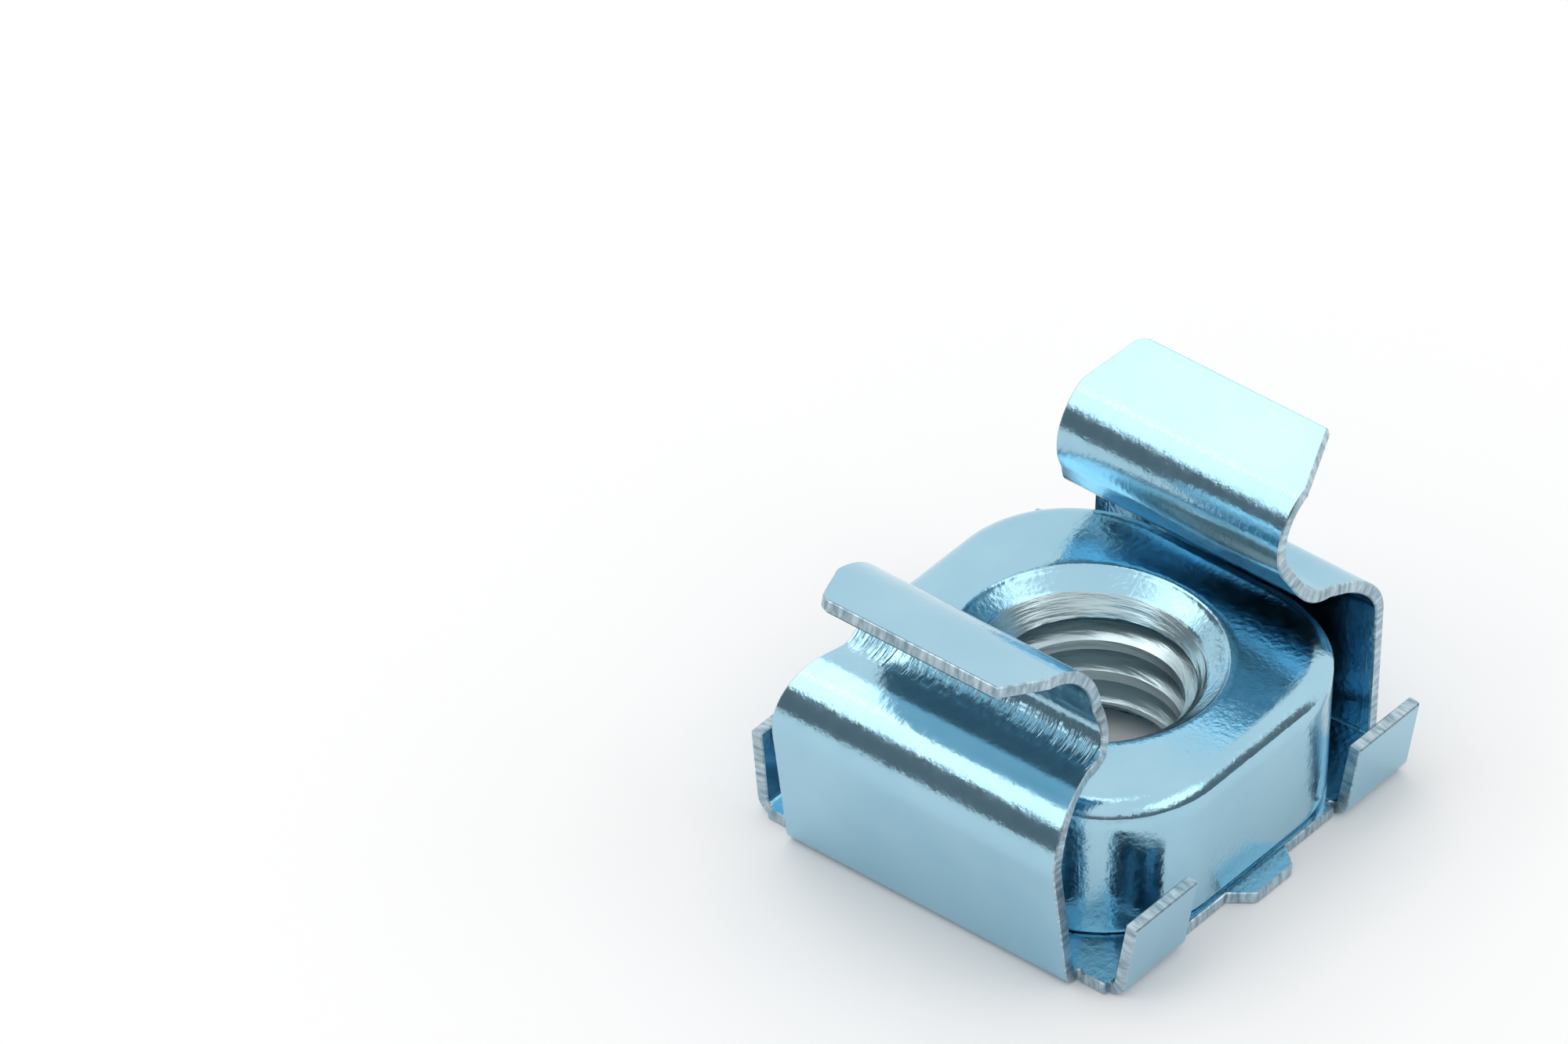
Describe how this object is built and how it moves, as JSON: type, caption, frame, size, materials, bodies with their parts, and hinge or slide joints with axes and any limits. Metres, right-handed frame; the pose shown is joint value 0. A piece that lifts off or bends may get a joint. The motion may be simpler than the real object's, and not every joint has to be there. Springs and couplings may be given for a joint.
{
  "type": "rack cage nut",
  "caption": "Square M6 nut held loosely in a folded spring-steel cage, whose sprung lugs clip into the square hole of an equipment rail.",
  "frame": {"origin": "centre of the clearance hole in the base, on the face that the cage rests on", "axes": "+Z along the thread towards the rail and the screw's head, +X towards the upright rear lug, -X towards the front lug that leans outward, +Y along the lugs' width"},
  "size_m": [0.0143, 0.0124, 0.0098],
  "materials": {
    "cage_zinc": "blue-passivated zinc on rolled spring steel, glossy, with fine speckle and forming marks",
    "nut_zinc": "blue-passivated zinc on pressed steel, glossy, with fine pits"
  },
  "bodies": {
    "root": {"cage": "cage_zinc", "nut": "nut_zinc"}
  },
  "joints": []
}
